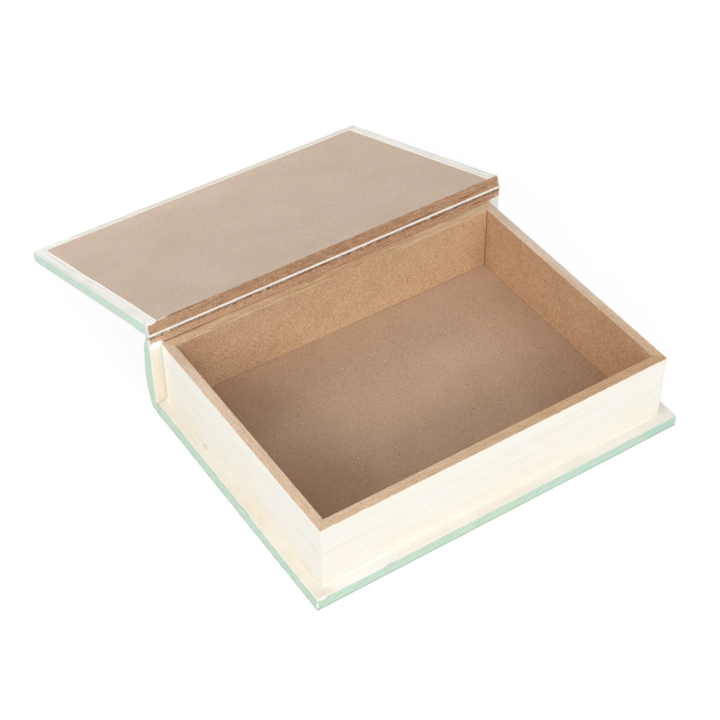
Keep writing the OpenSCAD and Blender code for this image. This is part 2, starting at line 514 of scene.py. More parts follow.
# Bottom cover
bottomSet = {
    "ease": 0.8,  # rounding of the edges
    "sharper": 0.5,  # how much of that the lower edges are rounded by
    "cell": 1.6,
    "cellUp": 1.0,
    "footLines": (1.2, 0.24),  # closer lines by the walls' outer foot: how far either side, and step
    "seamLines": (0.6, 0.2),  # the same at their inner foot
    "film": 0.05,  # thickness of the cream on the margin
    "filmWander": 0.03,
    "fillet": 0.45,  # paint pooled against the foot of the walls
    "filletReach": 0.7,
    "filletAt": 0.5,  # middle of the closer lines across it, out from the walls
    "border": -0.1,  # where mint gives way to cream, in from the cover's top edge
    "borderLeft": (0.25, 0.65),  # how much further in it is on the left, before and behind stepAt
    "stepAt": -17.0,
    "borderWander": 0.2,
    "warmth": ([0, 45, 70, 88], [0.1, 0.35, 0.3, 0.0]),  # share of warmer patches along X
    "warmLeft": 0.7,  # and on the left margin
    "shadowTo": 0.9,  # height of the painted contact shadow where the cover meets the table
    "shadedAlongWalls": 0.88,  # share of darker mottling on the floor at the foot of the side walls, a painted shade
    "lessShade": (0.21, 0.61),  # how much less it is further in, everywhere and in the middle
    "middle": (15.0, 25.0),  # where that middle lies in Y and how far it reaches
    "clearing": ([3, 18], [0, 1]),  # how it clears with the distance from the side walls
    "outside": {**mint, "Coat": tint(199, 223, 205), "Patch": tint(182, 216, 198), "Slant": 0.8},
    "deeper": ([30, 95], [0.0, 0.7]),  # share of deeper patches in the mint along X
    "paint": {
        "Coat": tint(253, 249, 240),
        "Thin": tint(248, 240, 226),
        "Patch": tint(243, 235, 219),
        "Stroke Length": 34.0,
        "Stroke Width": 1.2,
        "Streaks": 0.7,
    },
    "floor": {
        "Ground": tint(224, 191, 162),
        "Mottle": tint(193, 163, 136),
        "Mottle Size": 22.0,
        "Mottle Contrast": 0.8,
        "Grain": 0.2,
        "Fleck Share": 0.14,
        "Fleck Size": 1.35,
        "Pale Share": 0.06,
    },
    "marks": [
        spot((-62.5, -71.5, 6.4), (3.4, 0.9, 0.6), 0.6, (156, 172, 158)),
        spot((-93.5, -68.6, 6.5), (3.6, 1.6, 0.6), 0.8, (242, 232, 206)),
        spot((-96.1, -71.3, 6.5), (4.2, 1.3, 0.9), 0.9, (255, 254, 250)),
        spot((-94.3, -71.5, 6.1), (1.3, 0.8, 0.5), 0.7, (160, 162, 168)),
        spot((-99.8, -71.3, 3.2), (0.6, 0.6, 2.2), 0.8, (246, 252, 246)),
        spot((-94.8, 33.6, 6.5), (0.9, 2.6, 0.8), 0.3, (176, 156, 130)),
        spot((-50.8, 63.5, 6.5), (0.9, 0.5, 0.5), 0.8, (225, 205, 180)),
        spot((-97.0, 71.3, 6.5), (2.4, 0.5, 0.5), 0.6, (150, 130, 124)),
        # painted light: lifts the margin at the right end, where it lies in shade
        spot((94, -68.4, 6.5), (16, 3.4, 0.8), 0.5, (255, 252, 246)),
        spot((-73, -68.8, 6.5), (28, 4.5, 0.8), 0.6, (253, 252, 250)),
        # painted shade on the floor towards the front right
        spot((66, -39, 6.5), (31, 23, 2), 0.13, (130, 80, 44)),
        spot((56, 58, 6.5), (52, 16, 2), 0.16, (226, 208, 186)),
    ],
}


def makeBottomCover():
    ease, cell, away = bottomSet["ease"], bottomSet["cell"], bottomSet["filletAt"]
    footLines, seamLines = bottomSet["footLines"], bottomSet["seamLines"]
    footX = [(blockLow[0] - away, *footLines), (blockHigh[0] + away, *footLines)]
    seamX = [(trayLow[0], *seamLines), (trayHigh[0], *seamLines)]
    footY = [(blockLow[1] - away, *footLines)]
    seamY = [(trayLow[1], *seamLines), (trayHigh[1], *seamLines)]
    xs = easedLines(coverLow[0], coverHigh[0], cell, ease, *footX, *seamX)
    ys = easedLines(coverLow[1], coverHigh[1], cell, ease, *footY, *seamY)
    zs = easedLines(coverLow[2], coverHigh[2], bottomSet["cellUp"], ease)
    ruledAt, faces = blockSkin(xs, ys, zs)
    x, y, z = ruledAt.T
    backHigh = coverHigh + [0, ease * 2, 0]  # the edge against the spine stays square
    reachIn = np.maximum(insideOf(ruledAt, coverLow, backHigh), 0)
    byHeight = ([coverLow[2], coverHigh[2]], [bottomSet["sharper"], 1])
    points, out = roundOff(ruledAt, coverLow, backHigh, sandedEase(ruledAt, ease, byHeight, 3))

    onTop = z > coverHigh[2] - tiny
    below = z < coverLow[2] + tiny
    down = z - coverHigh[2]
    across = np.where(below, down - reachIn, down + reachIn)
    toBlock = -insideOf(ruledAt, blockLow, blockHigh)
    pooled = bottomSet["fillet"] * bump(np.maximum(toBlock, 0), bottomSet["filletReach"])
    pooled = pooled * (0.8 + 0.5 * noiseAt(ruledAt, 7, 5))
    margin = onTop & (toBlock > -0.3) & (reachIn > 0)
    wander = bottomSet["filmWander"] * noiseAt(ruledAt, (9, 9, 4), 6)
    lift = np.where(margin, bottomSet["film"] + pooled + wander, 0)
    points = points + out * lift[:, None]

    leftSide = x < blockLow[0]
    furtherIn = np.interp(y - bottomSet["stepAt"], [0, 1], bottomSet["borderLeft"])
    border = bottomSet["border"] + furtherIn * leftSide
    border = border + bottomSet["borderWander"] * noiseAt(ruledAt, 11, 8)
    tray = insideOf(ruledAt, trayLow, trayHigh)
    # painted contact shadow along the foot of the cover, where it meets the table
    tableShadow = np.maximum(z - bottomSet["shadowTo"], 0) + 0.1
    # painted shade: the floor is darker along the side walls than further in
    fromSides = np.minimum(x - trayLow[0], trayHigh[0] - x)
    everywhere, inMiddle = bottomSet["lessShade"]
    middleAt, middleReach = bottomSet["middle"]
    lessShade = everywhere + inMiddle * bump(y - middleAt, middleReach)
    fields = {
        "stroke": np.stack([x + y, across, np.zeros(len(x))], 1),
        "cream": across - border,
        "bare": np.where(onTop, tray + 0.6, -farOff),
        "warm": np.where(leftSide, bottomSet["warmLeft"], np.interp(x, *bottomSet["warmth"])),
        "shadedAlongWalls": bottomSet["shadedAlongWalls"] - lessShade * np.interp(fromSides, *bottomSet["clearing"]),
        "deep": np.interp(x, *bottomSet["deeper"]),
        "seam": np.where(onTop, np.where(toBlock > 0, farOff, np.abs(tray)), tableShadow),
    }
    coats = [
        {"finish": "brushedPaint", "look": bottomSet["outside"], "driven": {"Patches": "deep"}},
        {
            "finish": "brushedPaint",
            "look": bottomSet["paint"],
            "driven": {"Patches": "warm"},
            "field": "cream",
            "edge": {"Wobble": 0.18, "Lump": 4.0, "Softness": 0.15, "Line Width": 0.3},
            "lineShare": 0.35,
            "lineTint": tint(150, 168, 150),
        },
        {
            "finish": "fibreboard",
            "look": bottomSet["floor"],
            "driven": {"Mottle Share": "shadedAlongWalls"},
            "field": "bare",
            "edge": {"Wobble": 0.05},
        },
    ]
    seam = {"line": {"Width": 0.55, "Broken": 0.5}, "share": 0.3, "tint": tint(96, 66, 46)}
    material = boardMaterial("bottomCoverPaint", coats, seam, bottomSet["marks"])
    piece = makePiece("bottomCover", points, faces, fields, material)
    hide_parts("bottom_cover")
    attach(piece, "box")


makeBottomCover()


# Page block walls
wallSet = {
    "ease": 0.45,
    "againstSpine": 0.15,  # the back wall's arris where it meets the spine
    "corner": 0.7,  # radius of the block's outer upright corners
    "cell": 1.5,
    "cellUp": 0.75,
    "cellAcross": 0.8,
    "footLines": (0.3, 0.15),  # closer lines at the foot: half their height, and step
    "streakDepth": 0.03,  # relief of the page-like brush streaks
    "streakSize": (45, 9, 0.9),
    "streakFade": 6.0,  # they fade out over this much at the corners
    "chipSize": (2.4, 9, 9),
    "topOver": 0.35,  # how far the look of the sawn top turns down inside
    "topWander": 0.15,
    "sanded": 6.0,  # how many times longer the mottling of the sawn top is along the wall
    "warmFoot": ([2, 18], [0.6, 0.1]),  # share of warmer paint outside, by height above the cover
    "warmArris": (0.6, 2.0),  # how much more there is along the top, and how far down
    "lessShadeFoot": ([-45, -15], [0, 0.5]),  # how much less mottled the back wall's foot is, along X, which leaves a painted shade at its left
    "lessShadeReach": 7.0,
    "footSeam": 0.38,  # how far the dark line along the foot is faded, against the corners
    "seamFade": {"inner": 0.24, "top": 0.7, "outer": 0.68},  # how faint each face's dark lines are
    "top": {
        "Ground": tint(250, 225, 199),
        "Mottle": tint(198, 159, 120),
        "Grain": 0.16,
        "Fleck Share": 0.3,
        "Pale Share": 0.1,
        "Mottle Size": 1.1,
        "Mottle Contrast": 0.8,
    },
    "inner": {
        "Ground": tint(209, 175, 140),
        "Mottle": tint(202, 165, 129),
        "Fleck": tint(132, 84, 56),
        "Grain": 0.3,
        "Fleck Share": 0.8,
        "Pale Share": 0.08,
        "Mottle Size": 7.0,
    },
}
darkFleckAndShade = (112, 74, 46)
wallSides = {
    # turns are quarter turns round the block, paintOver is how far the cream turns up over the sawn
    # top, then come the depth of the chips, the strength of the painted shadow line along the inner
    # top edge, and how tan the top is at its start, halfway along and at its end, paler where the
    # lid and spine shade it, a painted light
    "front": {
        "turns": 0,
        "paintOver": -0.35,
        "chips": 0.45,
        "arrisShadeLine": 0.3,
        "topTanPaleInShade": (0.46, 0.78, 0.98),
    },
    "right": {
        "turns": 1,
        "paintOver": 0.2,
        "chips": 0.45,
        "arrisShadeLine": 0.65,
        "topTanPaleInShade": (0.7, 0.55, 0.04),
        "inner": {"Ground": tint(203, 166, 131), "Mottle": tint(196, 159, 124)},
        "marks": [
            spot((93.3, 22, 42.5), (2.6, 70, 0.9), 0.6, (220, 215, 209)),
            spot((89, -42, 34), (3, 24, 18), 0.12, darkFleckAndShade),
        ],
    },
    "back": {
        "turns": 2,
        "paintOver": -0.8,
        "chips": 0.45,
        "arrisShadeLine": 0.15,
        "topTanPaleInShade": (0.1, 0.6, 0.1),
        "top": {  # wiped along
            "Ground": tint(241, 212, 174),
            "Mottle": tint(201, 155, 109),
            "Mottle Contrast": 2.2,
            "Drawn Out": (9.0, 1.0, 1.0),
        },
        "inner": {
            "Ground": tint(215, 182, 147),
            "Mottle": tint(202, 166, 131),
            "Mottle Contrast": 1.8,
        },
        "marks": [
            spot((-45, 66.5, 16.4), (0.7, 0.6, 0.7), 0.9, (250, 232, 205)),
            spot((-34.5, 66.5, 24.8), (0.6, 0.6, 0.6), 0.8, darkFleckAndShade),
            spot((74.2, 66.5, 39), (0.8, 0.6, 0.8), 0.6, darkFleckAndShade),
            spot((80.4, 66.5, 37.4), (0.6, 0.6, 0.9), 0.6, darkFleckAndShade),
            spot((58, 66.5, 27), (0.7, 0.6, 0.7), 0.5, darkFleckAndShade),
            spot((84, 68.9, 42.5), (16.0, 2.3, 0.7), 0.5, (232, 214, 182)),
            spot((62, 66.5, 42.0), (30.0, 0.9, 1.5), 0.35, (224, 192, 154)),
            # the next three are painted shade: low at the left, in the right corner and along the
            # left corner
            spot((-54, 66.5, 10), (32, 3, 18), 0.17, darkFleckAndShade),
            spot((88, 66.5, 14), (12, 3, 18), 0.17, darkFleckAndShade),
            spot((-84, 66.5, 30), (24, 3, 20), 0.22, (132, 70, 34)),
        ],
    },
    "left": {
        "turns": 3,
        "paintOver": -0.1,
        "chips": 0.15,
        "arrisShadeLine": 0.12,
        "topTanPaleInShade": (0.05, 0.45, 0.43),
        "marks": [spot((-94, 33.6, 7.4), (0.8, 2.0, 0.9), 0.3, (176, 156, 130))],
    },
}


def makeWall(side, own):
    turns = own["turns"]
    alongX = turns % 2 == 0
    middle = (blockLow + blockHigh) / 2
    halves = (blockHigh - blockLow) / 2
    halfLong, halfDeep = (halves[0], halves[1]) if alongX else (halves[1], halves[0])
    ease, corner = wallSet["ease"], wallSet["corner"]
    floor, top = blockLow[2], blockHigh[2]
    footReach, footStep = wallSet["footLines"]
    us = easedLines(-halfLong, halfLong, wallSet["cell"], corner)
    acrossLines = easedLines(0, wallThick, wallSet["cellAcross"], ease)
    nearTop = (top - ease / 2, ease / 2, ease / 4)
    zs = ruled(floor, top, wallSet["cellUp"], nearTop, (floor + footReach, footReach, footStep))
    ruledAt, faces = blockSkin(us, acrossLines, zs)
    u, a, z = ruledAt.T
    outerFace = a < tiny
    innerFace = a > wallThick - tiny
    onTop = z > top - tiny
    low = np.array([-halfLong - farOff, 0, floor - farOff])
    high = np.array([halfLong + farOff, wallThick, top])
    leansOn = (side == "back") & (a < wallThick / 2)
    points, out = roundOff(ruledAt, low, high, np.where(leansOn, wallSet["againstSpine"], ease))
    toMitre = halfLong - np.abs(u)
    fade = np.clip(toMitre / wallSet["streakFade"], 0, 1)
    streaks = noiseAt(ruledAt, wallSet["streakSize"], turns + 1) * np.where(outerFace, fade, 0)
    points = points + out * (wallSet["streakDepth"] * streaks)[:, None]
    chipped = np.clip(noiseAt(ruledAt, wallSet["chipSize"], turns + 31) * 2 - 0.5, 0, 1)
    chipped = own["chips"] * chipped * onTop * innerFace
    points[:, 1] -= chipped
    points[:, 2] -= 0.5 * chipped

    points[:, 0] *= 1 - points[:, 1] / halfLong  # mitred ends
    points[:, 1] -= halfDeep
    cosTurn, sinTurn = [(1, 0), (0, 1), (-1, 0), (0, -1)][turns]
    x = points[:, 0] * cosTurn - points[:, 1] * sinTurn + middle[0]
    y = points[:, 0] * sinTurn + points[:, 1] * cosTurn + middle[1]
    placed = np.stack([x, y, points[:, 2]], 1)
    tall = np.array([0, 0, farOff])
    placed, _ = roundOff(placed, blockLow - tall, blockHigh + tall, corner)

    unrolled = np.where(innerFace, wallThick + top - z, np.where(outerFace, z - top, a))
    toCorner = toMitre * (1 - wallThick / halfLong)
    fades = wallSet["seamFade"]
    seam = np.minimum(z - floor + wallSet["footSeam"], toCorner) + fades["inner"]
    seam = np.where(innerFace & ~onTop, seam, farOff)
    seam = np.where(onTop, np.maximum(toMitre, fades["top"]), seam)
    seam = np.where(outerFace & ~onTop, np.maximum(toMitre, fades["outer"]), seam)
    mostWarm, warmReach = wallSet["warmArris"]
    warm = np.interp(z - floor, *wallSet["warmFoot"]) + mostWarm * bump(z - top, warmReach)
    # painted shade: the back wall's foot stays darker at the left
    lessShade = np.interp(x, *wallSet["lessShadeFoot"]) * bump(z - floor, wallSet["lessShadeReach"])
    fields = {
        "stroke": np.stack([placed[:, 0] + placed[:, 1], unrolled, np.zeros(len(x))], 1),
        "sawn": unrolled - own["paintOver"] + wallSet["topWander"] * noiseAt(placed, 8, 4),
        "inner": unrolled - wallThick - wallSet["topOver"],
        "mottleShare": 0.5 - lessShade * (side == "back"),
        "warm": np.where(outerFace, warm, 0.2),
        # painted light: the top's tan is kept paler where the lid and spine shade it
        "tanPaleInShade": np.interp(u, [-halfLong, 0, halfLong], own["topTanPaleInShade"]),
        "seam": seam,
    }
    sanded = (wallSet["sanded"], 1.0, 1.0) if alongX else (1.0, wallSet["sanded"], 1.0)
    coats = [
        {"finish": "brushedPaint", "look": cream, "driven": {"Patches": "warm"}},
        {
            "finish": "fibreboard",
            "look": {**wallSet["top"], "Drawn Out": sanded, **own.get("top", {})},
            "driven": {"Mottle Share": "tanPaleInShade"},
            "field": "sawn",
            "edge": {"Wobble": 0.2, "Lump": 3.5, "Softness": 0.15, "Line Width": 0.5},
            "lineShare": 0.9,
            "lineTint": tint(255, 248, 233),
        },
        {
            "finish": "fibreboard",
            "look": {**wallSet["inner"], **own.get("inner", {})},
            "driven": {"Mottle Share": "mottleShare"},
            "field": "inner",
            "edge": {"Wobble": 0.1, "Softness": 0.15, "Line Width": 0.35},
            # painted shadow line along the inner top edge
            "lineShare": own["arrisShadeLine"],
        },
    ]
    seamLook = {"line": {"Width": 0.8, "Broken": 0.25}, "share": 0.8, "tint": tint(118, 70, 40)}
    material = boardMaterial(side + "WallFinish", coats, seamLook, own.get("marks", ()))
    piece = makePiece(side + "Wall", placed, faces, fields, material)
    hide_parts(side + "_wall")
    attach(piece, "box")


for side, own in wallSides.items():
    makeWall(side, own)


# Spine board: flat inside, round outside, rolled over at the crest
spineSet = {
    "foot": 4.8,  # thickness at the foot, half way up and at the crest
    "middle": 8.3,
    "crest": 1.9,
    "roll": 1.4,  # radius of the rolled crest
    "ease": 0.5,
    "cell": 1.6,
    "cellUp": 1.2,
    "wallLines": (1.2, 0.3),  # closer lines at the height of the walls' top
    "worn": 0.25,  # how far the crest's inner arris is worn down
    "wornReach": (0.04, 0.3),  # and how much of the thickness and of the height that takes in
    "uneven": 0.05,  # how far the round back wanders in and out
    "creamEnd": 0.3,  # how far the cream turns out onto the ends from the inner face
    "creamCrest": ([-2.2, -0.7], [0, 1.5]),  # how much further it does close under the crest
    "creamFoot": 0.6,  # where it ends over the bottom cover
    # dark lines: half the height of the glue line over the wall, which shows most at the left, then
    # how far the painted shadow and glue under the cloth reach, and how far the others lie off the
    # walls and the cover and how faint
    "glueLine": 0.3,
    "glueFade": ([-78, -58], [0, 0.3]),
    "underCloth": 0.7,
    "besideWall": (0.1, 0.22),
    "onCover": (0.15, 0.05),
    "red": (0.05, 0.45, 0.6),  # redder mottling at the left end, in the middle and at the right end
    "marginPaint": {
        "Coat": tint(238, 231, 215),
        "Thin": tint(228, 215, 199),
        "Patch": tint(234, 226, 204),
        "Stroke Length": 20.0,
        "Streaks": 0.8,
        "Patches": 0.4,
    },
    "bareEnds": (0.8, 0.2),  # cream round the left and right end of the bare strip
    "bareCorner": 1.0,
    "bareBelow": 0.2,  # how far it reaches below the walls' top
    "bareRise": (1.1, 1.2),  # how much higher the cream stands left and right of the page block
    "blockCorner": 0.9,  # over which length it rises
    "bareLook": {
        "Ground": tint(210, 176, 145),
        "Mottle": tint(174, 130, 102),
        "Fleck": tint(120, 74, 52),
        "Grain": 0.3,
        "Fleck Share": 0.9,
        "Pale Share": 0.12,
        "Mottle Size": 1.1,
        "Mottle Contrast": 2.0,
        "Drawn Out": (3.0, 1.0, 1.0),
    },
    "marks": [
        spot((-100, 73.3, 0), (0.9, 1.0, 0.8), 0.8, (92, 98, 88)),
        spot((-96.6, 71.5, 42.5), (4.6, 0.8, 2.8), 1.0, (255, 254, 252), ragged=0.12, core=0.6),
        # painted shade in the corner against the left wall
        spot((-94.5, 71.5, 33.0), (1.0, 0.8, 11.0), 0.7, (220, 229, 231)),
        spot((97.0, 71.5, 38.0), (4.2, 0.8, 7.0), 0.9, (238, 242, 240)),
        spot((97.5, 71.5, 45.6), (1.6, 0.5, 0.7), 0.3, (226, 204, 180)),
        spot((87, 71.5, 45.0), (8.0, 0.5, 0.6), 0.85, (132, 72, 58)),
        spot((62, 71.5, 46.9), (9.0, 0.5, 0.5), 0.7, (138, 80, 64)),
        spot((30, 71.5, 44.6), (7.0, 0.5, 0.4), 0.5, (146, 88, 70)),
        spot((76, 71.5, 43.1), (14.0, 0.5, 0.6), 0.4, (222, 196, 160)),
    ],
}


def throughThree(a, b, c):  # centre of the circle through three points
    ab, ac = b - a, c - a
    turn = 2 * (ab[0] * ac[1] - ab[1] * ac[0])
    x = ac[1] * (ab @ ab) - ab[1] * (ac @ ac)
    y = ab[0] * (ac @ ac) - ac[0] * (ab @ ab)
    return a + np.array([x, y]) / turn


crestHeight = spineHigh[2]
backAt = throughThree(
    np.array([spineSet["foot"], 0.0]),
    np.array([spineSet["middle"], crestHeight / 2]),
    np.array([spineSet["crest"], crestHeight]),
)
backRadius = np.linalg.norm(np.array([spineSet["foot"], 0.0]) - backAt)
rollRise = crestHeight - spineSet["roll"] - backAt[1]
rollAt = backAt + [math.sqrt((backRadius - spineSet["roll"]) ** 2 - rollRise ** 2), rollRise]
rollStart = math.atan2(rollRise, rollAt[0] - backAt[0])


def spineThickness(z):
    back = backAt[0] + np.sqrt(backRadius ** 2 - (z - backAt[1]) ** 2)
    above = np.clip(z - rollAt[1], 0, spineSet["roll"])
    rolled = rollAt[0] + np.sqrt(spineSet["roll"] ** 2 - above ** 2)
    startsAt = rollAt[1] + spineSet["roll"] * math.sin(rollStart)
    return np.where(z > startsAt, rolled, back)


def makeSpine():
    ease = spineSet["ease"]
    wallTop = blockHigh[2]
    xs = easedLines(spineLow[0], spineHigh[0], spineSet["cell"], ease)
    shares = np.array([0, 0.05, 0.15, 0.3, 0.45, 0.6, 0.75, 0.88, 1.0])  # through the thickness
    rollLines = rollAt[1] + spineSet["roll"] * np.sin(np.linspace(rollStart, math.pi / 2, 9))
    zs = ruled(spineLow[2], rollLines[0], spineSet["cellUp"], (wallTop, *spineSet["wallLines"]))
    zs = np.concatenate([zs[:-1], rollLines])
    ruledAt, faces = blockSkin(xs, shares, zs)
    x, share, z = ruledAt.T
    toEnd = spineHigh[0] - np.abs(x)
    inset = ease - np.sqrt(np.maximum(ease ** 2 - np.maximum(ease - toEnd, 0) ** 2, 0))
    height = np.clip(z, spineLow[2] + inset, crestHeight - inset)
    thick = spineThickness(height) - 2 * inset
    across = inset + share * thick
    wornAcross, wornDown = spineSet["wornReach"]
    arris = bump(share, wornAcross) * bump(crestHeight - z, wornDown)
    height = height - spineSet["worn"] * arris * (0.7 + 0.6 * noiseAt(ruledAt * [1, 0, 1], 5, 2))
    points = np.stack([x, coverHigh[1] + across, height], 1)
    points[:, 1] += spineSet["uneven"] * noiseAt(points, (30, 30, 6), 7) * (share > 0.5)

    onEnd = toEnd < tiny
    innerSide = share < tiny
    crestTop = z > crestHeight - tiny
    nearCrest = np.interp(z - crestHeight, *spineSet["creamCrest"])
    aboveCover = np.clip(z - coverHigh[2] - spineSet["creamFoot"], -1, 0)
    creamIn = spineSet["creamEnd"] + nearCrest - across + aboveCover
    creamIn = np.where(onEnd, creamIn, np.where(innerSide, 5.0, -2.0))
    creamIn = np.where(crestTop, 2.0, creamIn)
    pastWall = np.abs(x) - blockHigh[0]
    blockCorner = spineSet["blockCorner"]
    pastBlock = np.clip((pastWall + blockCorner) / blockCorner, 0, 1)  # 0 behind the page block
    rise = np.where(x < 0, *spineSet["bareRise"]) * pastBlock
    bareFoot = wallTop - spineSet["bareBelow"] + rise
    bareEnd = np.where(x < 0, *spineSet["bareEnds"])
    strip = roundedIn(toEnd - bareEnd, z - bareFoot, spineSet["bareCorner"])

    beyond = pastBlock > 0
    fading = np.interp(x, *spineSet["glueFade"])
    offWall, faintAtWall = spineSet["besideWall"]
    offCover, faintOnCover = spineSet["onCover"]
    glueLine = np.maximum(np.abs(z - wallTop) - spineSet["glueLine"], 0) + fading + farOff * beyond
    underCloth = np.maximum(crestHeight - z - spineSet["underCloth"], 0)
    besideWall = np.where(beyond, np.abs(pastWall - offWall) + faintAtWall, farOff)
    onCover = np.where(beyond, np.abs(z - coverHigh[2] - offCover) + faintOnCover, farOff)
    nearest = np.minimum.reduce([glueLine, underCloth, besideWall, onCover])
    zero = np.zeros(len(x))
    upright = ((innerSide & beyond) | onEnd)[:, None]  # painted up and down
    stroke = np.where(upright, np.stack([z, x, zero], 1), np.stack([x + across, z, zero], 1))
    fields = {
        "stroke": stroke,
        "cream": creamIn + 0.1 * noiseAt(points, 6, 9),
        "bare": np.where(innerSide | crestTop, strip, -5.0) + 0.2 * noiseAt(points, 3, 11),
        "seam": np.where(innerSide, nearest, farOff),
        "red": np.interp(x, [spineLow[0], 0, spineHigh[0]], spineSet["red"]),
    }
    coats = [
        {"finish": "brushedPaint", "look": mint},
        {
            "finish": "brushedPaint",
            "look": spineSet["marginPaint"],
            "field": "cream",
            "edge": {"Wobble": 0.12, "Lump": 4.0},
        },
        {
            "finish": "fibreboard",
            "look": spineSet["bareLook"],
            "driven": {"Mottle Share": "red"},
            "field": "bare",
            "edge": {"Wobble": 0.3, "Lump": 2.5, "Softness": 0.2},
        },
    ]
    line = {"Width": 0.5, "Broken": 0.85, "Dash": 1.0}
    seam = {"line": line, "share": 0.85, "tint": tint(92, 58, 40)}
    material = boardMaterial("spinePaint", coats, seam, spineSet["marks"])
    piece = makePiece("spineBoard", points, faces, fields, material)
    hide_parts("spine_board")
    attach(piece, "box")


makeSpine()


# Top cover, worked out closed and then turned back about the fold line
lidSet = {
    "ease": 0.8,
    "sharper": 0.5,  # how much of that the outer edges are rounded by
    "hingeEase": 0.45,  # and the edges at the hinge
    "cell": 1.5,
    "cellUp": 0.8,
    "panelLines": (1.6, 0.32),  # closer lines along the panel's border: reach and step
    "cornerLines": (4.5, 0.5),  # in the left corner by the hinge, and along the hinge edge
    "hingeLines": (1.8, 0.45),
    "worn": 0.22,  # how far the hinge edge's arrises are worn back
    "margin": 6.0,  # cream margin round the bare panel
    "marginWander": 0.3,
    "rougher": ([30, 70], [1, 1.4]),  # how much more it wanders at the left, towards the hinge
    "widerLeft": ([-20, 70], [0, 0.7]),  # and how much wider it gets there
    "film": 0.05,
    "filmEnd": 0.3,  # the film thins out over this much
    "uneven": 0.03,  # how uneven the other faces are
    "ridge": 0.12,  # paint left standing along the margin's inner edge
    "ridgeWidth": 0.55,
    "lumps": 0.45,  # blobs of paint at the left end of the hinge edge
    "lumpsAt": (3.0, 4.0, 3.0),  # their middle from that end, and how far they reach in X and Y
    "arrisFade": ([-72, -52], [0, 0.35]),  # the painted shadow line at the hinge edge's inner arris shows most at the left
    "cornerFade": 0.25,  # but less in the corner
    "bareEnds": (0.8, 0.3),  # cream round the left and right end of the hinge edge's bare strip
    "bareRise": 0.3,  # how far that strip turns over the inner arris
    "bareCorner": 1.2,
    # how far the margin's paint runs down over that edge, by distance from the lid's left end
    "drip": {0.0: 1.1, 5.0: 1.3, 5.8: 0.45, 10.5: 0.4, 12.0: 0.0},
    "panel": {
        "Ground": tint(216, 191, 174),
        "Mottle": tint(199, 178, 157),
        "Grain": 0.16,
        "Fleck Share": 0.12,
        "Pale Share": 0.04,
        "Mottle Size": 26.0,
        "Mottle Contrast": 1.3,
    },
    "mottled": 0.76,  # share of mottling on the panel
    "faded": ([-10, 32], [0.45, 0.135]),  # how much less it is near the fore edge, along X
    "fadedAt": (4.0, 30.0),  # how far from that edge it is least, and how far that reaches
    "warmFore": ([10, 60], [0.1, 0.9]),  # warmer paint on the fore margin, from the left end
    "red": (0.1, 0.4, 0.15),  # redder mottling at the left end, in the middle and at the right end
    "outside": {**mint, "Coat": tint(208, 228, 213), "Thin": tint(199, 220, 203), "Slant": 0.5},
    "marginPaint": {
        "Coat": tint(241, 238, 231),
        "Thin": tint(214, 212, 205),
        "Patch": tint(224, 213, 201),
        "Stroke Length": 60.0,
        "Stroke Width": 0.8,
        "Streaks": 0.8,
    },
    "edgeLook": {
        "Ground": tint(193, 157, 123),
        "Mottle": tint(154, 109, 81),
        "Fleck": tint(122, 76, 52),
        "Grain": 0.3,
        "Fleck Share": 0.9,
        "Pale Share": 0.1,
        "Mottle Size": 1.1,
        "Mottle Contrast": 2.2,
        "Drawn Out": (4.0, 1.0, 1.0),
    },
    "marks": [  # placed on the closed lid
        spot((-97.2, 70.3, 42.6), (3.8, 1.8, 1.8), 1.0, (255, 253, 250), ragged=0.15),
        spot((-91.0, 70.9, 42.8), (4.0, 0.6, 0.5), 0.9, (250, 230, 216)),
        spot((-99.0, 68.5, 42.7), (1.6, 0.5, 0.5), 0.7, (150, 112, 100)),
        # painted shadow line along the hinge edge's inner arris
        spot((-79.0, 70.9, 42.8), (11.0, 0.5, 0.4), 0.8, (122, 80, 58)),
        spot((82, 70.9, 46.6), (13.0, 0.6, 0.7), 0.6, (122, 66, 48)),
        spot((92, 70.9, 45.4), (7.0, 0.6, 0.5), 0.4, (122, 66, 48)),
        spot((52, 70.9, 47.4), (10.0, 0.6, 0.5), 0.7, (126, 70, 52)),
        spot((90, 70.9, 43.6), (7.0, 0.6, 0.5), 0.3, (150, 96, 76)),
    ],
}


